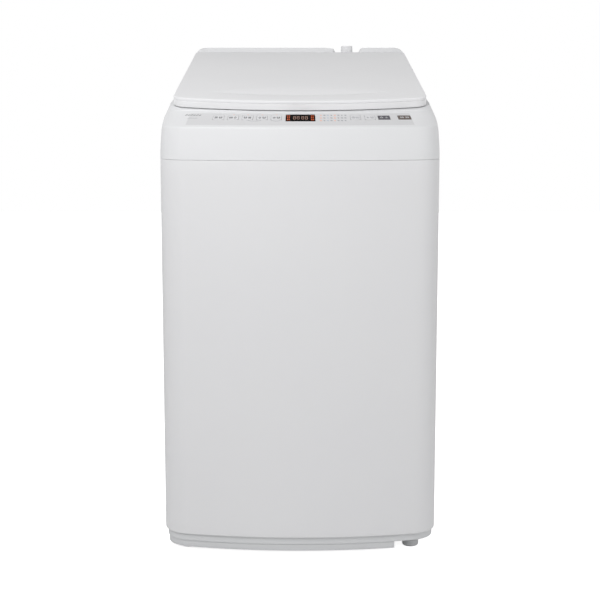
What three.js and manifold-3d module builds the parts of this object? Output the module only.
// Top load washing machine. Millimetres, +Z up, origin on the floor at the middle of the footprint,
// front towards -Y.
import * as THREE from "three";
import { mergeVertices } from "three/addons/utils/BufferGeometryUtils.js";
import { ConvexGeometry } from "three/addons/geometries/ConvexGeometry.js";
import Module from "manifold-3d";

const wasm = await Module();
wasm.setup();

// ---------------------------------------------------------------- driving dimensions

const WIDTH = 500;
const DEPTH = 530;
const HALF_WIDTH = WIDTH / 2;
const FRONT = -DEPTH / 2;
const BACK = DEPTH / 2;
const GAP = 0.3; // left between neighbouring pieces
const ARC_STEPS = 4; // each arc of an outline has twice as many facets
const ROUND_STEPS = 36; // facets round the tub and basket

// Plan outline of the casing: a bowed front, round front corners, tight rear corners.
const BOW_RADIUS = 910;
const BOW_CENTRE_Y = FRONT + BOW_RADIUS;
const CABINET_BACK = BACK - 6;
const CORNER_RADIUS = 55;
const REAR_CORNER_RADIUS = 14;

// Levels, from the floor up.
const SKIRT_BOTTOM = 6;
const SKIRT_TOP = 19;
const SKIRT_END_X = 173; // the skirt stops here, beside the adjustable foot
const SKIRT_BACK_Y = -150; // how far it runs back along the left side
const CABINET_BOTTOM = 32;
const CABINET_TOP = 715;
const PANEL_FOOT = 773;
const PANEL_HEAD = 799;
const RIM_TOP = 915.6;
const RIM_FRONT_Y = 233;

const SHEET = 1.6; // steel sheet
const COVER_WALL = 3;

// Control panel slope, from its front edge back to the lid.
const PANEL_FRONT_Y = FRONT + 3;
const PANEL_BACK_Y = FRONT + 47;
const PANEL_TILT = Math.atan2(PANEL_HEAD - PANEL_FOOT, PANEL_BACK_Y - PANEL_FRONT_Y);
const OVERLAY_HALF_ANGLE = 0.235; // either side of the middle, about the bow's centre
const OVERLAY_HALF_HEIGHT = 19;
const OVERLAY_THICKNESS = 1.2;

// Lid, hinged along its lower rear edge.
const LID_TILT = THREE.MathUtils.degToRad(11.4);
const LID_THICKNESS = 16;
const LID_FRONT_Y = FRONT + 45;
const LID_FRONT_Z = 802;
const LID_HALF_FRONT = 228;
const LID_HALF_REAR = 213;
const LID_LENGTH = 450; // measured along the slope
const HINGE_INSET = 4; // hinge axis in from the lid's rear and lower faces

// Laundry opening through the top cover.
const THROAT_HALF_WIDTH = 175;
const THROAT_FRONT_Y = -182;
const THROAT_BACK_Y = 110;
const THROAT_CORNER = 70;
const THROAT_BOTTOM = 726;
const DECK_DROP = 3; // deck below the lid's lower face

// Tub, basket and drive share one upright axis.
const TUB_RADIUS = 222;
const TUB_BOTTOM = 192;
const TUB_TOP = 655;
const TUB_WALL = 4;
const BASKET_RADIUS = 202;
const BASKET_BOTTOM = 208;
const BASKET_TOP = 640;
const BASKET_WALL = 2.4;
const BALANCE_RING_HEIGHT = 42;
const BALANCE_RING_INNER = 158;
const PULSATOR_RADIUS = 164;

// Suspension rods hang in the cabinet's corners.
const ROD_X = 186;
const ROD_Y = 186;
const ROD_RADIUS = 4;
const ROD_BOTTOM = 214;
const ROD_TOP = 700;
const HANGER_Z = 690;
const LUG_Z = 270;
const SPRING_RADIUS = 11;

// Belt drive.
const DRIVE_PULLEY_RADIUS = 78;
const MOTOR_PULLEY_RADIUS = 19;
const MOTOR_X = 92;
const MOTOR_Y = -112;
const PULLEY_Z = 76;
const PULLEY_HEIGHT = 16;
const BRACKET_Z = 183;
const SPIN_SHAFT_RADIUS = 15;
const WASH_SHAFT_RADIUS = 9;

// Keys: width across the panel, their middle from the machine's centre line, and their name.
const KEY_HEIGHT = 13;
const KEY_UP_SLOPE = 5;
const KEYS = [
  { name: "course_key", x: -143.5, width: 18, colour: "#cfcfd0" },
  { name: "water_level_key", x: -117.5, width: 18, colour: "#cfcfd0" },
  { name: "wash_key", x: -92, width: 18, colour: "#cfcfd0" },
  { name: "rinse_key", x: -66.7, width: 18, colour: "#cfcfd0" },
  { name: "spin_key", x: -41.6, width: 18, colour: "#cfcfd0" },
  { name: "timer_key", x: 97.4, width: 17, colour: "#d6d6d4" },
  { name: "dry_key", x: 123, width: 17, colour: "#d6d6d4" },
  { name: "power_key", x: 148, width: 20, colour: "#5c5b60" },
  { name: "start_key", x: 184.5, width: 22, colour: "#5f5654" },
];

// ---------------------------------------------------------------- finishes

const finish = (color, roughness, metalness) => {
  return new THREE.MeshStandardMaterial({ color, roughness, metalness });
};
const WHITE_ENAMEL = finish("#ebebec", 0.35, 0.1);
const WHITE_ABS = finish("#ececec", 0.4, 0);
const PANEL_GREY = finish("#dededf", 0.45, 0);
const LID_WHITE = finish("#e2e2e3", 0.3, 0);
const BLACK_LENS = finish("#0c0a0a", 0.15, 0);
const BLACK_RUBBER = finish("#2a2a2c", 0.9, 0);
const GREY_PP = finish("#c9cbcd", 0.55, 0);
const STAINLESS = finish("#b9bcc0", 0.3, 1);
const ZINC_STEEL = finish("#a3a7ab", 0.45, 1);
const CAST_ALUMINIUM = finish("#9ea1a4", 0.5, 1);
const GREEN_BOARD = finish("#2d5a3c", 0.6, 0);
const BLUE_PLASTIC = finish("#8fb4cc", 0.45, 0);

// ---------------------------------------------------------------- solids

// Welds a closed geometry and drops its slivers, so that it can be cut and joined.
function solid(geometry) {
  const plain = new THREE.BufferGeometry();
  plain.setAttribute("position", geometry.getAttribute("position"));
  plain.setIndex(geometry.getIndex());
  const welded = mergeVertices(plain, 1e-4);
  const corners = welded.getIndex().array;
  const kept = [];
  for (let i = 0; i < corners.length; i += 3) {
    const [a, b, c] = corners.slice(i, i + 3);
    if (a !== b && b !== c && c !== a) kept.push(a, b, c);
  }
  return new wasm.Manifold(new wasm.Mesh({
    numProp: 3,
    vertProperties: new Float32Array(welded.getAttribute("position").array),
    triVerts: new Uint32Array(kept),
  }));
}

function joined(first, ...others) {
  return others.reduce((sum, other) => sum.add(other), first);
}

function cutBy(first, ...tools) {
  return tools.reduce((rest, tool) => rest.subtract(tool), first);
}

function geometryOf(body) {
  const mesh = body.getMesh();
  const geometry = new THREE.BufferGeometry();
  geometry.setAttribute("position", new THREE.BufferAttribute(mesh.vertProperties, 3));
  geometry.setIndex(new THREE.BufferAttribute(mesh.triVerts, 1));
  geometry.computeVertexNormals();
  return geometry;
}

function block(x0, x1, y0, y1, z0, z1) {
  const box = new THREE.BoxGeometry(x1 - x0, y1 - y0, z1 - z0);
  return solid(box.translate((x0 + x1) / 2, (y0 + y1) / 2, (z0 + z1) / 2));
}

function extruded(shape, depth, curveSegments) {
  return new THREE.ExtrudeGeometry(shape, { depth, bevelEnabled: false, curveSegments });
}

// A flat outline raised from one level to another.
function slab(shape, z0, z1, curveSegments = ARC_STEPS) {
  const body = extruded(shape, z1 - z0, curveSegments);
  return solid(body.translate(0, 0, z0));
}

// An outline drawn in Y and Z, carried across from x0 to x1.
function sideSlab(shape, x0, x1) {
  const body = extruded(shape, x1 - x0, ARC_STEPS);
  const axes = new THREE.Matrix4().makeBasis(
    new THREE.Vector3(0, 1, 0), new THREE.Vector3(0, 0, 1), new THREE.Vector3(1, 0, 0));
  return solid(body.applyMatrix4(axes).translate(x0, 0, 0));
}

// An outline drawn in X and Z, carried from y1 forwards to y0.
function frontSlab(shape, y0, y1) {
  const body = extruded(shape, y1 - y0, ARC_STEPS);
  return solid(body.rotateX(Math.PI / 2).translate(0, y1, 0));
}

// A profile of [radius, height] pairs, anticlockwise, turned about an upright axis.
function turned(profile, x = 0, y = 0, segments = 24) {
  const points = profile.map(([radius, height]) => new THREE.Vector2(radius, height));
  return solid(new THREE.LatheGeometry(points, segments).rotateX(Math.PI / 2).translate(x, y, 0));
}

function rod(radius, z0, z1, x = 0, y = 0, segments = 16) {
  return turned([[0, z0], [radius, z0], [radius, z1], [0, z1]], x, y, segments);
}

function tube(inner, outer, z0, z1, x = 0, y = 0, segments = 24) {
  return turned([[inner, z0], [outer, z0], [outer, z1], [inner, z1], [inner, z0]], x, y, segments);
}

// A cylinder along X or Y.
function crossRod(axis, radius, from, to, a, b, segments = 12) {
  const body = new THREE.CylinderGeometry(radius, radius, to - from, segments);
  if (axis === "x") {
    return solid(body.rotateZ(Math.PI / 2).translate((from + to) / 2, a, b));
  }
  return solid(body.translate(a, (from + to) / 2, b));
}

function polygon(points) {
  return new THREE.Shape(points.map(([a, b]) => new THREE.Vector2(a, b)));
}

// A skin over a row of rings with equally many points, closed by a fan at each end. Each ring runs
// anticlockwise seen from the side that the row heads for, and is convex.
function skinned(rings) {
  const count = rings[0].length;
  const corners = [];
  for (let row = 0; row + 1 < rings.length; row += 1) {
    for (let i = 0; i < count; i += 1) {
      const a = row * count + i;
      const b = row * count + ((i + 1) % count);
      corners.push(a, b, b + count, a, b + count, a + count);
    }
  }
  const last = (rings.length - 1) * count;
  for (let i = 1; i + 1 < count; i += 1) {
    corners.push(0, i + 1, i, last, last + i, last + i + 1);
  }
  const geometry = new THREE.BufferGeometry().setFromPoints(rings.flat());
  geometry.setIndex(corners);
  return solid(geometry);
}

// ---------------------------------------------------------------- outlines

// A plan with a bowed front, round front corners and tight rear corners, drawn anticlockwise.
function bowedOutline({ half, front, back, corner, rearCorner, bowCentre }) {
  const bow = bowCentre - front;
  const cornerY = bowCentre - Math.sqrt((bow - corner) ** 2 - (half - corner) ** 2);
  const sweep = Math.asin((half - corner) / (bow - corner));
  const down = -Math.PI / 2;
  const shape = new THREE.Shape();
  shape.absarc(0, bowCentre, bow, down - sweep, down + sweep, false);
  shape.absarc(half - corner, cornerY, corner, down + sweep, 0, false);
  shape.absarc(half - rearCorner, back - rearCorner, rearCorner, 0, Math.PI / 2, false);
  shape.absarc(rearCorner - half, back - rearCorner, rearCorner, Math.PI / 2, Math.PI, false);
  shape.absarc(corner - half, cornerY, corner, Math.PI, Math.PI * 1.5 - sweep, false);
  return shape;
}

// The casing's plan, set in by a margin all round.
function casingOutline(inset, back = CABINET_BACK) {
  return bowedOutline({
    half: HALF_WIDTH - inset,
    front: FRONT + inset,
    back: back - inset,
    corner: CORNER_RADIUS - inset,
    rearCorner: Math.max(REAR_CORNER_RADIUS - inset, 2),
    bowCentre: BOW_CENTRE_Y,
  });
}

function roundedRectangle(x0, x1, y0, y1, radius) {
  const shape = new THREE.Shape();
  shape.absarc(x1 - radius, y0 + radius, radius, -Math.PI / 2, 0, false);
  shape.absarc(x1 - radius, y1 - radius, radius, 0, Math.PI / 2, false);
  shape.absarc(x0 + radius, y1 - radius, radius, Math.PI / 2, Math.PI, false);
  shape.absarc(x0 + radius, y0 + radius, radius, Math.PI, Math.PI * 1.5, false);
  return shape;
}

// Levels of the top cover: height, half width, set-back of the front, front corner radius. The cover
// leans in, breaks at the panel's front edge, slopes back to the lid and ends in a round rear rim.
const COVER_LEVELS = [
  [CABINET_TOP + GAP, 250, 0, 55],
  [731, 249.7, 0.2, 55],
  [748, 248.7, 0.8, 54.5],
  [764, 247.4, 1.4, 54],
  [PANEL_FOOT - 1.6, 246.6, 2, 53],
  [PANEL_FOOT, 246, 3.6, 52],
  [780, 245.3, 15.5, 50],
  [787, 243.8, 27, 48],
  [PANEL_HEAD, 239.6, 47, 44],
  [808, 235.2, 48, 41],
  [818, 230.9, 48, 38],
  [832, 226.2, 48, 34],
  [850, 222.6, 48, 32],
  [870, 219.4, 48, 30],
  [893, 216, 48, 29],
  [RIM_TOP - 10.5, 213.6, 48, 27],
  [RIM_TOP - 3, 204.5, 48, 24],
  [RIM_TOP, 192, 48, 20],
];

// The outer form of the cover before its deck is cut; a wall's depth inside it when set in.
function coverForm(inset, bottom) {
  const rings = COVER_LEVELS.map(([height, half, setBack, corner], level) => {
    const outline = bowedOutline({
      half: half - inset,
      front: FRONT + setBack + inset,
      back: BACK - inset,
      corner: corner - inset,
      rearCorner: REAR_CORNER_RADIUS - inset,
      bowCentre: BOW_CENTRE_Y,
    });
    const z = level === 0 ? bottom : height - inset;
    return ringOf(outline).map((point) => new THREE.Vector3(point.x, point.y, z));
  });
  return skinned(rings);
}

// The corner points of an outline, with each point that repeats the one before it left out.
function ringOf(shape) {
  const points = shape.getPoints(ARC_STEPS);
  return points.filter((point, i) => {
    const before = points[(i + points.length - 1) % points.length];
    return point.distanceTo(before) > 1e-6;
  });
}

function deckHeight(y) {
  return LID_FRONT_Z - DECK_DROP + (y - LID_FRONT_Y) * Math.tan(LID_TILT);
}

// Seen from the side: room for the front wall, then the lid deck, hinge trough and rear rim.
function deckProfile(inset) {
  return polygon([
    [FRONT - 1, CABINET_TOP - 60],
    [BACK + 1, CABINET_TOP - 60],
    [BACK + 1, RIM_TOP - inset],
    [RIM_FRONT_Y + 4 + inset, RIM_TOP - inset],
    [RIM_FRONT_Y + inset, RIM_TOP - 5 - inset],
    [RIM_FRONT_Y + inset, deckHeight(RIM_FRONT_Y) - inset],
    [FRONT - 1, deckHeight(FRONT - 1) - inset],
  ]);
}

function coverSolid(inset, bottom) {
  const deck = sideSlab(deckProfile(inset), -HALF_WIDTH - 1, HALF_WIDTH + 1);
  return coverForm(inset, bottom).intersect(deck);
}

// ---------------------------------------------------------------- assembly

const machine = new THREE.Group();
machine.name = "top_load_washer";

function addPiece(name, body, material, parent = machine) {
  const mesh = new THREE.Mesh(geometryOf(body), material);
  mesh.name = name;
  parent.add(mesh);
  return mesh;
}

const CORNERS = [
  { name: "front_left", sideX: -1, sideY: -1 },
  { name: "front_right", sideX: 1, sideY: -1 },
  { name: "rear_left", sideX: -1, sideY: 1 },
  { name: "rear_right", sideX: 1, sideY: 1 },
];

// ---------------------------------------------------------------- casing and feet

const REAR_OPENING = { half: 190, bottom: 90, top: 690 };
const GLAND = { x: 165, z: 150, radius: 9 };
const FOOT_X = 205;
const FOOT_FRONT_Y = -203;
const FOOT_REAR_Y = 215;

function hanger({ sideX, sideY }) {
  const plate = block(
    ...[150 * sideX, HALF_WIDTH * sideX].sort((a, b) => a - b),
    ...[150 * sideY, (DEPTH / 2) * sideY].sort((a, b) => a - b),
    HANGER_Z, HANGER_Z + 3);
  const fitted = plate.intersect(slab(casingOutline(SHEET / 2), HANGER_Z - 1, HANGER_Z + 4));
  return cutBy(fitted, rod(ROD_RADIUS + 2, HANGER_Z - 1, HANGER_Z + 4, ROD_X * sideX, ROD_Y * sideY));
}

function cabinet() {
  const outside = slab(casingOutline(0), CABINET_BOTTOM, CABINET_TOP);
  const inside = slab(casingOutline(SHEET), CABINET_BOTTOM - 1, CABINET_TOP + 1);
  const { half, bottom, top } = REAR_OPENING;
  const rearOpening = block(-half, half, CABINET_BACK - 10, CABINET_BACK + 1, bottom, top);
  return joined(cutBy(outside, inside, rearOpening), ...CORNERS.map(hanger));
}

function rearCover() {
  const { half, bottom, top } = REAR_OPENING;
  const y = CABINET_BACK + GAP;
  const plate = block(-half - 14, half + 14, y, y + SHEET, bottom - 14, top + 14);
  const glandHole = crossRod("y", GLAND.radius + GAP, y - 1, y + 3, GLAND.x, GLAND.z);
  return cutBy(plate, glandHole);
}

function cordGland() {
  const y = CABINET_BACK + GAP + SHEET;
  const { x, z, radius } = GLAND;
  const body = crossRod("y", radius, y - 8, y + 1, x, z);
  const flange = crossRod("y", radius + 3, y + GAP, BACK, x, z);
  const bore = crossRod("y", 4, y - 9, BACK + 1, x, z);
  return cutBy(joined(body, flange), bore);
}

// A ring under the cabinet with a raised inner rim, and a boss over each foot.
function baseFrame() {
  const lower = slab(casingOutline(4.5), SKIRT_TOP, CABINET_BOTTOM - GAP);
  const upper = slab(casingOutline(SHEET + GAP), CABINET_BOTTOM - 1, 60);
  const inside = slab(casingOutline(22), SKIRT_TOP - 1, 61);
  const step = cutBy(
    slab(casingOutline(0), CABINET_BOTTOM - GAP, 61),
    slab(casingOutline(SHEET + GAP), 0, 62));
  const ring = cutBy(joined(lower, upper), inside, step);
  const footY = (sideY) => (sideY < 0 ? FOOT_FRONT_Y : FOOT_REAR_Y);
  const bosses = CORNERS.map(({ sideX, sideY }) => rod(24, SKIRT_TOP, 50, FOOT_X * sideX, footY(sideY)));
  const holes = CORNERS.map(({ sideX, sideY }) => rod(6.3, 10, 51, FOOT_X * sideX, footY(sideY)));
  return cutBy(joined(ring, ...bosses), ...holes);
}

// The low front band: it wraps the left corner and stops short of the adjustable foot.
function frontSkirt() {
  const band = cutBy(
    slab(casingOutline(6.5), SKIRT_BOTTOM, SKIRT_TOP - GAP),
    slab(casingOutline(10.5), SKIRT_BOTTOM - 1, SKIRT_TOP));
  return band.intersect(block(-HALF_WIDTH, SKIRT_END_X, FRONT, SKIRT_BACK_Y, 0, 40));
}

function fixedFoot(x, y) {
  return turned([
    [0, 0], [15, 0], [17, 2], [17, SKIRT_TOP - GAP], [6, SKIRT_TOP - GAP], [6, 44], [0, 44],
  ], x, y, 20);
}

function adjustableFoot(x, y) {
  return turned([[0, 0], [13, 0], [15, 2], [15, 11], [14, 12], [5.4, 12], [5.4, 46], [0, 46]], x, y, 20);
}

function lockNut(x, y) {
  return cutBy(rod(10, 12.6, SKIRT_TOP - GAP, x, y, 6), rod(6, 12, SKIRT_TOP, x, y));
}

addPiece("cabinet", cabinet(), WHITE_ENAMEL);
addPiece("rear_cover", rearCover(), ZINC_STEEL);
addPiece("cord_gland", cordGland(), BLACK_RUBBER);
addPiece("base_frame", baseFrame(), GREY_PP);
addPiece("front_skirt", frontSkirt(), GREY_PP);
addPiece("foot_front_left", fixedFoot(-FOOT_X, FOOT_FRONT_Y), BLACK_RUBBER);
addPiece("foot_rear_left", fixedFoot(-FOOT_X, FOOT_REAR_Y), BLACK_RUBBER);
addPiece("foot_rear_right", fixedFoot(FOOT_X, FOOT_REAR_Y), BLACK_RUBBER);
addPiece("adjustable_foot", adjustableFoot(FOOT_X, FOOT_FRONT_Y), GREY_PP);
addPiece("foot_lock_nut", lockNut(FOOT_X, FOOT_FRONT_Y), ZINC_STEEL);

// ---------------------------------------------------------------- control panel

// Frames on the panel's cone: X across, Y up the slope, Z out of the surface.
const PANEL_MIDDLE_RADIUS = BOW_RADIUS - (3 + 47) / 2;
const PANEL_MIDDLE_Z = (PANEL_FOOT + PANEL_HEAD) / 2;

function panelSpot(x, upSlope) {
  const turn = Math.asin(x / (PANEL_MIDDLE_RADIUS - upSlope * Math.cos(PANEL_TILT)));
  const swing = new THREE.Group();
  swing.position.set(0, BOW_CENTRE_Y, 0);
  swing.rotation.z = turn;
  const slope = new THREE.Group();
  slope.position.set(0, -PANEL_MIDDLE_RADIUS, PANEL_MIDDLE_Z);
  slope.rotation.x = PANEL_TILT;
  const spot = new THREE.Group();
  spot.position.set(0, upSlope, 0);
  swing.add(slope);
  slope.add(spot);
  machine.add(swing);
  swing.updateMatrixWorld(true);
  return spot;
}

// A box in a panel frame, as a solid in the machine's own frame.
function panelBlock(spot, width, height, low, high) {
  const box = new THREE.BoxGeometry(width, height, high - low).translate(0, 0, (low + high) / 2);
  return solid(box.applyMatrix4(spot.matrixWorld));
}

// A strip that follows the panel's cone, between two depths under its surface.
function panelStrip(halfAngle, halfHeight, depth0, depth1) {
  const section = [
    [-halfHeight, depth0], [halfHeight, depth0], [halfHeight, depth1], [-halfHeight, depth1],
  ];
  const steps = 12;
  const rings = [];
  for (let i = 0; i <= steps; i += 1) {
    const angle = halfAngle * ((2 * i) / steps - 1);
    rings.push(section.map(([up, out]) => {
      const inwards = up * Math.cos(PANEL_TILT) - out * Math.sin(PANEL_TILT);
      const radius = PANEL_MIDDLE_RADIUS - inwards;
      const z = PANEL_MIDDLE_Z + up * Math.sin(PANEL_TILT) + out * Math.cos(PANEL_TILT);
      const y = BOW_CENTRE_Y - radius * Math.cos(angle);
      return new THREE.Vector3(radius * Math.sin(angle), y, z);
    }));
  }
  return skinned(rings);
}

const DISPLAY = { x: 0.8, upSlope: 5, width: 52, height: 22 };
const KEY_PROUD = 0.6;
const KEY_THICKNESS = 2.4;
const STEM_SIDE = 4;
const STEM_LENGTH = 8;
const LENS_THICKNESS = 2.2;
const displaySpot = panelSpot(DISPLAY.x, DISPLAY.upSlope);
const keySpots = KEYS.map((key) => ({ ...key, spot: panelSpot(key.x, KEY_UP_SLOPE) }));

function controlPanel() {
  const strip = panelStrip(OVERLAY_HALF_ANGLE, OVERLAY_HALF_HEIGHT, -OVERLAY_THICKNESS, 0);
  const display = panelBlock(displaySpot, DISPLAY.width + 2 * GAP, DISPLAY.height + 2 * GAP, -10, 10);
  const keyHoles = keySpots.map(({ spot, width }) => {
    return panelBlock(spot, width + 2 * GAP, KEY_HEIGHT + 2 * GAP, -10, 10);
  });
  return cutBy(strip, display, ...keyHoles);
}

function keyBody(width) {
  const cap = new THREE.BoxGeometry(width, KEY_HEIGHT, KEY_THICKNESS);
  cap.translate(0, 0, KEY_PROUD - KEY_THICKNESS / 2);
  const stem = new THREE.BoxGeometry(STEM_SIDE, STEM_SIDE, STEM_LENGTH);
  stem.translate(0, 0, -1 - STEM_LENGTH / 2);
  return joined(solid(cap), solid(stem));
}

function displayWindow() {
  const lens = new THREE.BoxGeometry(DISPLAY.width, DISPLAY.height, LENS_THICKNESS);
  lens.translate(0, 0, 0.1 - LENS_THICKNESS / 2);
  return solid(lens);
}

addPiece("control_panel", controlPanel(), PANEL_GREY);
addPiece("display_window", displayWindow(), BLACK_LENS, displaySpot);
for (const { name, spot, width, colour } of keySpots) {
  addPiece(name, keyBody(width), finish(colour, 0.5, 0), spot);
}
addPiece("control_board", panelStrip(0.225, 17, -13, -11.2), GREEN_BOARD);

// ---------------------------------------------------------------- top cover

const hinge = {
  y: LID_FRONT_Y + (LID_LENGTH - HINGE_INSET) * Math.cos(LID_TILT) - HINGE_INSET * Math.sin(LID_TILT),
  z: LID_FRONT_Z + (LID_LENGTH - HINGE_INSET) * Math.sin(LID_TILT) + HINGE_INSET * Math.cos(LID_TILT),
};
const HINGE_EAR_X = 190;
const HINGE_PIN_RADIUS = 3;
const NOZZLE = { x: 96.5, y: 250, pipe: 9, radius: 12, top: 919.5 };
const NOTCH = { topLeft: 68, topRight: 127, bottomLeft: 73, bottomRight: 120, floor: 906 };
const DRAWER = { x0: -98, x1: -18, z0: 800, z1: 838, back: 196 };

function throat(inset, z0, z1) {
  return slab(roundedRectangle(
    -THROAT_HALF_WIDTH - inset, THROAT_HALF_WIDTH + inset,
    THROAT_FRONT_Y - inset, THROAT_BACK_Y + inset, THROAT_CORNER + inset), z0, z1);
}

function hingeEar(side) {
  const x0 = side * HINGE_EAR_X - 6;
  const x1 = side * HINGE_EAR_X + 6;
  const eye = crossRod("x", 6.5, x0, x1, hinge.y, hinge.z);
  const post = block(x0, x1, hinge.y - 5, hinge.y + 5, deckHeight(hinge.y) - 2, hinge.z);
  return joined(eye, post);
}

function notchSolid(wall, z1) {
  return frontSlab(polygon([
    [NOTCH.bottomLeft - wall, NOTCH.floor - wall],
    [NOTCH.bottomRight + wall, NOTCH.floor - wall],
    [NOTCH.topRight + wall, z1],
    [NOTCH.topLeft - wall, z1],
  ]), RIM_FRONT_Y - 1 + wall * 0.5, BACK + 1 - wall * 0.5);
}

function topCover() {
  const base = CABINET_TOP + GAP;
  const outside = coverSolid(0, base);
  const shell = cutBy(outside, coverSolid(COVER_WALL, base - 10));
  const collar = throat(2.5, THROAT_BOTTOM, RIM_TOP).intersect(outside);
  const ears = [-1, 1].map(hingeEar);
  const notchWalls = notchSolid(2.4, RIM_TOP).intersect(outside);
  const pinHole = crossRod("x", HINGE_PIN_RADIUS + GAP, -220, 220, hinge.y, hinge.z);
  const pipeHole = rod(NOZZLE.pipe + GAP, 880, RIM_TOP + 5, NOZZLE.x, NOZZLE.y);
  const recess = panelStrip(
    OVERLAY_HALF_ANGLE + 0.0004, OVERLAY_HALF_HEIGHT + GAP, -OVERLAY_THICKNESS - GAP, 4);
  const stemHoles = keySpots.map(({ spot }) => panelBlock(spot, 6, 6, -8, 2));
  const keyWells = keySpots.map(({ spot, width }) => {
    return panelBlock(spot, width + 1, KEY_HEIGHT + 1, -2.9, 2);
  });
  const displayWell = panelBlock(displaySpot, DISPLAY.width + 1, DISPLAY.height + 1, -2.6, 2);
  const drawerMouth = block(
    DRAWER.x0 - 1, DRAWER.x1 + 1, THROAT_BACK_Y - 10, THROAT_BACK_Y + 10, DRAWER.z0 - 1, DRAWER.z1 + 1);
  return cutBy(
    joined(shell, collar, notchWalls, ...ears),
    throat(0, 600, RIM_TOP + 5), notchSolid(0, RIM_TOP + 2), pinHole, pipeHole, recess,
    ...keyWells, ...stemHoles, displayWell, drawerMouth);
}

addPiece("top_cover", topCover(), WHITE_ABS);

// ---------------------------------------------------------------- lid

const lidGroup = new THREE.Group();
lidGroup.position.set(0, LID_FRONT_Y, LID_FRONT_Z);
lidGroup.rotation.x = LID_TILT;
machine.add(lidGroup);

const LID_CORNER = 29;
const POCKET_BACK = LID_LENGTH - 14;
const SCOOP = { front: 76, arch: 60, half: 161, depth: 4.7 };

// The lid's plan narrows a little towards its hinge.
function lidOutline(inset, back) {
  const outline = bowedOutline({
    half: LID_HALF_FRONT - inset,
    front: inset,
    back,
    corner: LID_CORNER - inset,
    rearCorner: 10,
    bowCentre: BOW_CENTRE_Y - LID_FRONT_Y,
  });
  const taper = (1 - LID_HALF_REAR / LID_HALF_FRONT) / LID_LENGTH;
  return new THREE.Shape(ringOf(outline).map((point) => {
    return new THREE.Vector2(point.x * (1 - taper * point.y), point.y);
  }));
}

// What the hand scoop takes out of the lid's top: a valley deepest along its straight front line.
function scoopSolid() {
  const points = [];
  for (let i = -8; i <= 8; i += 1) {
    const across = i / 8;
    const share = 1 - across ** 2;
    const x = across * SCOOP.half;
    points.push(new THREE.Vector3(x, 6, LID_THICKNESS), new THREE.Vector3(x, 6, LID_THICKNESS + 3));
    points.push(new THREE.Vector3(x, SCOOP.front, LID_THICKNESS - SCOOP.depth * share));
    points.push(new THREE.Vector3(x, SCOOP.front + SCOOP.arch * share, LID_THICKNESS));
    points.push(new THREE.Vector3(x, SCOOP.front + SCOOP.arch * share, LID_THICKNESS + 3));
  }
  return solid(new ConvexGeometry(points));
}

function lidShell() {
  const full = slab(lidOutline(0, LID_LENGTH), 0, LID_THICKNESS);
  const pocket = slab(lidOutline(COVER_WALL, POCKET_BACK), -1, LID_THICKNESS - COVER_WALL);
  const thickFront = block(-200, 200, 0, SCOOP.front + SCOOP.arch + 8, 7, LID_THICKNESS - 1)
    .intersect(slab(lidOutline(1, LID_LENGTH - 2), 0, LID_THICKNESS));
  const earSlots = [-1, 1].map((side) => {
    const middle = side * HINGE_EAR_X;
    return block(middle - 8, middle + 8, POCKET_BACK + 0.5, LID_LENGTH + 1, -1, 12.5);
  });
  const pinHoles = [-1, 1].map((side) => {
    const [from, to] = [side * 172, side * 208].sort((a, b) => a - b);
    return crossRod("x", HINGE_PIN_RADIUS + 0.2, from, to, LID_LENGTH - HINGE_INSET, HINGE_INSET);
  });
  return cutBy(joined(cutBy(full, pocket), thickFront), scoopSolid(), ...earSlots, ...pinHoles);
}

function lidInnerPanel() {
  return slab(lidOutline(COVER_WALL + GAP, POCKET_BACK - GAP), 0.4, 2.4);
}

function hingePin(side) {
  const [from, to] = [side * 173, side * 207].sort((a, b) => a - b);
  return crossRod("x", HINGE_PIN_RADIUS - 0.2, from, to, LID_LENGTH - HINGE_INSET, HINGE_INSET);
}

addPiece("lid", lidShell(), LID_WHITE, lidGroup);
addPiece("lid_inner_panel", lidInnerPanel(), WHITE_ABS, lidGroup);
addPiece("lid_hinge_pin_left", hingePin(-1), ZINC_STEEL, lidGroup);
addPiece("lid_hinge_pin_right", hingePin(1), ZINC_STEEL, lidGroup);
addPiece("lid_switch", block(-205, -185, 170, 205, 840, 868), GREY_PP);

// ---------------------------------------------------------------- water inlet and detergent drawer

function inletNozzle() {
  const { x, y, pipe, radius, top } = NOZZLE;
  return turned([
    [7, 842], [pipe, 842], [pipe, NOTCH.floor + GAP], [radius, NOTCH.floor + GAP],
    [radius, top - 8], [radius - 1.5, top - 7], [radius - 1.5, top - 3],
    [radius, top - 2], [radius - 1, top], [7, top], [7, 842],
  ], x, y, 28);
}

function inletValve() {
  const body = block(76, 117, 222, 260, 790, 841.7);
  const coils = [86, 107].map((x) => crossRod("y", 10, 190, 223, x, 815));
  const outlet = crossRod("x", 9, 40, 77, 240, 812);
  return joined(body, ...coils, outlet);
}

function detergentDrawer() {
  const { x0, x1, z0, z1, back } = DRAWER;
  const face = block(x0, x1, THROAT_BACK_Y - 3, THROAT_BACK_Y + 3.5, z0, z1);
  const box = block(x0 + 4, x1 - 4, THROAT_BACK_Y + 3, back, z0 + 1, z1 - 8);
  const hollow = block(x0 + 6, x1 - 6, THROAT_BACK_Y + 5.5, back - 2, z0 + 3, z1);
  return cutBy(joined(face, box), hollow);
}

function drawerHousing() {
  const { x0, x1, z0, z1, back } = DRAWER;
  const outside = block(x0 - 4, x1 + 4, THROAT_BACK_Y + 3, back + 4, z0 - 4, z1 + 4);
  const inside = block(x0 - 1, x1 + 1, THROAT_BACK_Y - 1, back + 1, z0 - 1, z1 + 1);
  return cutBy(outside, inside);
}

addPiece("inlet_nozzle", inletNozzle(), GREY_PP);
addPiece("inlet_valve", inletValve(), WHITE_ABS);
addPiece("detergent_drawer", detergentDrawer(), BLUE_PLASTIC);
addPiece("drawer_housing", drawerHousing(), GREY_PP);

// ---------------------------------------------------------------- tub, basket and pulsator

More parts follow.
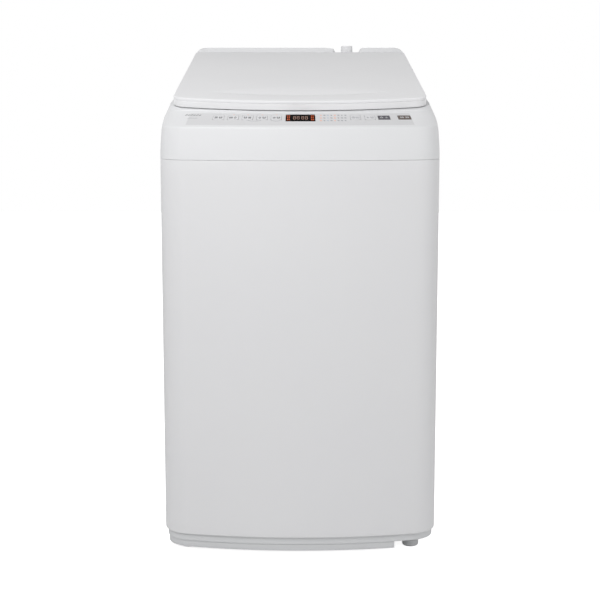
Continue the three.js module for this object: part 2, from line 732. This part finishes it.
function tubLug({ sideX, sideY }) {
  const reach = Math.hypot(ROD_X, ROD_Y);
  const rib = new THREE.BoxGeometry(reach - TUB_RADIUS + 3, 18, 16);
  rib.translate((reach + TUB_RADIUS - 3) / 2, 0, LUG_Z);
  rib.rotateZ(Math.atan2(ROD_Y * sideY, ROD_X * sideX));
  return joined(solid(rib), rod(14, LUG_Z - 8, LUG_Z + 8, ROD_X * sideX, ROD_Y * sideY, 20));
}

const DRAIN = { x: -112, y: 96, radius: 14 };

function outerTub() {
  const inner = TUB_RADIUS - TUB_WALL;
  const cup = turned([
    [SPIN_SHAFT_RADIUS + 2, TUB_BOTTOM], [202, TUB_BOTTOM], [TUB_RADIUS, 212], [TUB_RADIUS, TUB_TOP],
    [inner, TUB_TOP], [inner, 214], [200, TUB_BOTTOM + TUB_WALL],
    [SPIN_SHAFT_RADIUS + 2, TUB_BOTTOM + TUB_WALL], [SPIN_SHAFT_RADIUS + 2, TUB_BOTTOM],
  ], 0, 0, ROUND_STEPS);
  const spout = rod(DRAIN.radius, 181, TUB_BOTTOM + 1, DRAIN.x, DRAIN.y);
  const spoutBore = rod(DRAIN.radius - 3, 180, TUB_BOTTOM + 10, DRAIN.x, DRAIN.y);
  const rodHoles = CORNERS.map(({ sideX, sideY }) => {
    return rod(ROD_RADIUS + 1.2, LUG_Z - 12, LUG_Z + 12, ROD_X * sideX, ROD_Y * sideY, 20);
  });
  return cutBy(joined(cup, spout, ...CORNERS.map(tubLug)), spoutBore, ...rodHoles);
}

function tubCover() {
  const z = TUB_TOP + GAP;
  const lip = TUB_RADIUS + GAP;
  return turned([
    [166, z], [lip, z], [lip, z - 15], [lip + 3, z - 15], [lip + 3, z + 4], [166, z + 4], [166, z],
  ], 0, 0, ROUND_STEPS);
}

function spinBasket() {
  const inner = BASKET_RADIUS - BASKET_WALL;
  const floor = BASKET_BOTTOM + BASKET_WALL;
  return turned([
    [20, BASKET_BOTTOM], [184, BASKET_BOTTOM], [BASKET_RADIUS, 226], [BASKET_RADIUS, BASKET_TOP],
    [inner, BASKET_TOP], [inner, 227], [183, floor], [20, floor], [20, BASKET_BOTTOM],
  ], 0, 0, ROUND_STEPS);
}

function balanceRing() {
  const rim = BASKET_TOP + GAP;
  const outer = BASKET_RADIUS - BASKET_WALL - GAP;
  const foot = BASKET_TOP - BALANCE_RING_HEIGHT;
  return turned([
    [BALANCE_RING_INNER + 12, foot], [outer, foot], [outer, rim], [BASKET_RADIUS + 1.5, rim],
    [BASKET_RADIUS + 1.5, rim + 4], [BALANCE_RING_INNER + 10, rim + 5],
    [BALANCE_RING_INNER + 3, rim + 2], [BALANCE_RING_INNER, rim - 6], [BALANCE_RING_INNER, foot + 14],
    [BALANCE_RING_INNER + 4, foot + 4], [BALANCE_RING_INNER + 12, foot],
  ], 0, 0, ROUND_STEPS);
}

// A shallow dish with a raised hub and curved fins.
function pulsator() {
  const dish = turned([
    [0, 216], [158, 216], [PULSATOR_RADIUS, 220], [PULSATOR_RADIUS, 226], [150, 227], [110, 229],
    [60, 238], [28, 249], [0, 250],
  ], 0, 0, ROUND_STEPS);
  const fins = [0, 1, 2, 3, 4].map((index) => {
    const shape = polygon([[20, 222], [152, 222], [152, 230], [120, 240], [60, 254], [20, 256]]);
    const fin = extruded(shape, 12, ARC_STEPS);
    fin.rotateX(Math.PI / 2).translate(0, 6, 0).rotateZ((index * 2 * Math.PI) / 5);
    return solid(fin);
  });
  const capSeat = rod(23, 249, 262);
  return cutBy(joined(dish, ...fins), capSeat);
}

function lintFilter() {
  const inner = BASKET_RADIUS - BASKET_WALL - 1.4;
  const outside = tube(inner - 13, inner, 330, 480, 0, 0, 72);
  return outside.intersect(block(120, BASKET_RADIUS, -38, 38, 329, 481));
}

addPiece("outer_tub", outerTub(), GREY_PP);
addPiece("tub_cover", tubCover(), GREY_PP);
addPiece("spin_basket", spinBasket(), STAINLESS);
addPiece("balance_ring", balanceRing(), WHITE_ABS);
addPiece("pulsator", pulsator(), BLUE_PLASTIC);
addPiece("pulsator_cap", turned([[0, 249.3], [22.5, 249.3], [22.5, 256], [18, 259], [0, 260]]), GREY_PP);
addPiece("lint_filter", lintFilter(), WHITE_ABS);

// ---------------------------------------------------------------- suspension

function suspensionRod({ sideX, sideY }) {
  const x = ROD_X * sideX;
  const y = ROD_Y * sideY;
  const shaft = rod(ROD_RADIUS, ROD_BOTTOM, ROD_TOP, x, y, 16);
  const cup = rod(SPRING_RADIUS + 4, ROD_BOTTOM, ROD_BOTTOM + 6, x, y, 20);
  const head = rod(9, HANGER_Z + 3 + GAP, ROD_TOP + 2, x, y, 16);
  return joined(shaft, cup, head);
}

// A coil spring on the rod's cup, carrying the tub's lug.
function suspensionSpring({ sideX, sideY }) {
  const low = ROD_BOTTOM + 6 + GAP + 2;
  const high = LUG_Z - 8 - GAP - 2;
  const turns = 4;
  const points = [];
  for (let i = 0; i <= turns * 8; i += 1) {
    const angle = (i * Math.PI) / 4;
    const x = ROD_X * sideX + (SPRING_RADIUS - 2) * Math.cos(angle);
    const y = ROD_Y * sideY + (SPRING_RADIUS - 2) * Math.sin(angle);
    points.push(new THREE.Vector3(x, y, low + ((high - low) * i) / (turns * 8)));
  }
  const wire = new THREE.Shape().absarc(0, 0, 1.8, 0, Math.PI * 2, false);
  const coil = new THREE.ExtrudeGeometry(wire, {
    steps: turns * 8,
    curveSegments: 2,
    extrudePath: new THREE.CatmullRomCurve3(points),
  });
  return solid(coil);
}

for (const corner of CORNERS) {
  addPiece(`suspension_rod_${corner.name}`, suspensionRod(corner), ZINC_STEEL);
  addPiece(`suspension_spring_${corner.name}`, suspensionSpring(corner), ZINC_STEEL);
}

// ---------------------------------------------------------------- drive and drain

function motorBracket() {
  const plate = slab(roundedRectangle(-80, 160, -180, 80, 24), BRACKET_Z, BRACKET_Z + 5);
  return cutBy(plate, rod(SPIN_SHAFT_RADIUS + 3, BRACKET_Z - 1, BRACKET_Z + 6));
}

function gearbox() {
  const bore = SPIN_SHAFT_RADIUS + 1;
  return turned([
    [bore, 104], [38, 104], [62, 114], [62, 160], [74, 162], [74, BRACKET_Z - GAP],
    [bore, BRACKET_Z - GAP], [bore, 104],
  ]);
}

function spinShaft() {
  const bore = WASH_SHAFT_RADIUS + 0.6;
  return turned([
    [bore, 108], [SPIN_SHAFT_RADIUS, 108], [SPIN_SHAFT_RADIUS, 200], [46, 200],
    [46, BASKET_BOTTOM - GAP], [bore, BASKET_BOTTOM - GAP], [bore, 108],
  ]);
}

// A V-grooved pulley; its bore is left out when the radius given is nought.
function pulley(bore, radius, x, y) {
  const top = PULLEY_Z + PULLEY_HEIGHT;
  const middle = PULLEY_Z + PULLEY_HEIGHT / 2;
  return turned([
    [bore, PULLEY_Z], [radius, PULLEY_Z], [radius - 5, middle], [radius, top], [bore, top],
    ...(bore > 0 ? [[bore, PULLEY_Z]] : []),
  ], x, y, 32);
}

function motorPulley() {
  const shaft = rod(6, PULLEY_Z + PULLEY_HEIGHT - 1, 99.6, MOTOR_X, MOTOR_Y);
  return joined(pulley(0, MOTOR_PULLEY_RADIUS, MOTOR_X, MOTOR_Y), shaft);
}

// The outline of a belt round both pulleys, a margin outside their groove's middle.
function beltOutline(margin) {
  const large = DRIVE_PULLEY_RADIUS - 5 + margin;
  const small = MOTOR_PULLEY_RADIUS - 5 + margin;
  const distance = Math.hypot(MOTOR_X, MOTOR_Y);
  const towards = Math.atan2(MOTOR_Y, MOTOR_X);
  const spread = Math.acos((large - small) / distance);
  const shape = new THREE.Shape();
  shape.absarc(0, 0, large, towards + spread, towards - spread + Math.PI * 2, false);
  shape.absarc(MOTOR_X, MOTOR_Y, small, towards - spread, towards + spread, false);
  return shape;
}

function driveBelt() {
  const low = PULLEY_Z + 4.5;
  const high = PULLEY_Z + PULLEY_HEIGHT - 4.5;
  return cutBy(slab(beltOutline(7.5), low, high, 14), slab(beltOutline(3.2), low - 1, high + 1, 14));
}

function motor() {
  return turned([
    [0, 100], [40, 100], [56, 106], [56, 168], [40, 174], [40, BRACKET_Z - GAP], [0, BRACKET_Z - GAP],
  ], MOTOR_X, MOTOR_Y);
}

function drainValve() {
  const { x, y, radius } = DRAIN;
  const body = rod(24, 128, 180.6, x, y);
  const outlet = crossRod("y", radius, y, 248, x, 146);
  const bore = crossRod("y", radius - 3, y, 249, x, 146);
  const inlet = rod(radius - 3, 140, 182, x, y);
  return cutBy(joined(body, outlet), bore, inlet);
}

function runCapacitor() {
  return rod(17, 120, 195, -(HALF_WIDTH - SHEET - 17 - GAP - 0.2), 40, 24);
}

addPiece("motor_bracket", motorBracket(), ZINC_STEEL);
addPiece("gearbox", gearbox(), CAST_ALUMINIUM);
addPiece("spin_shaft", spinShaft(), ZINC_STEEL);
addPiece("wash_shaft", rod(WASH_SHAFT_RADIUS, 70, 216 - GAP), ZINC_STEEL);
addPiece("drive_pulley", pulley(WASH_SHAFT_RADIUS + GAP, DRIVE_PULLEY_RADIUS, 0, 0), CAST_ALUMINIUM);
addPiece("drive_belt", driveBelt(), BLACK_RUBBER);
addPiece("motor", motor(), CAST_ALUMINIUM);
addPiece("motor_pulley", motorPulley(), CAST_ALUMINIUM);
addPiece("drain_valve", drainValve(), GREY_PP);
addPiece("drain_actuator", block(-150, -100, 20, 70, 138, 178), BLACK_RUBBER);
addPiece("run_capacitor", runCapacitor(), WHITE_ABS);

export default machine;
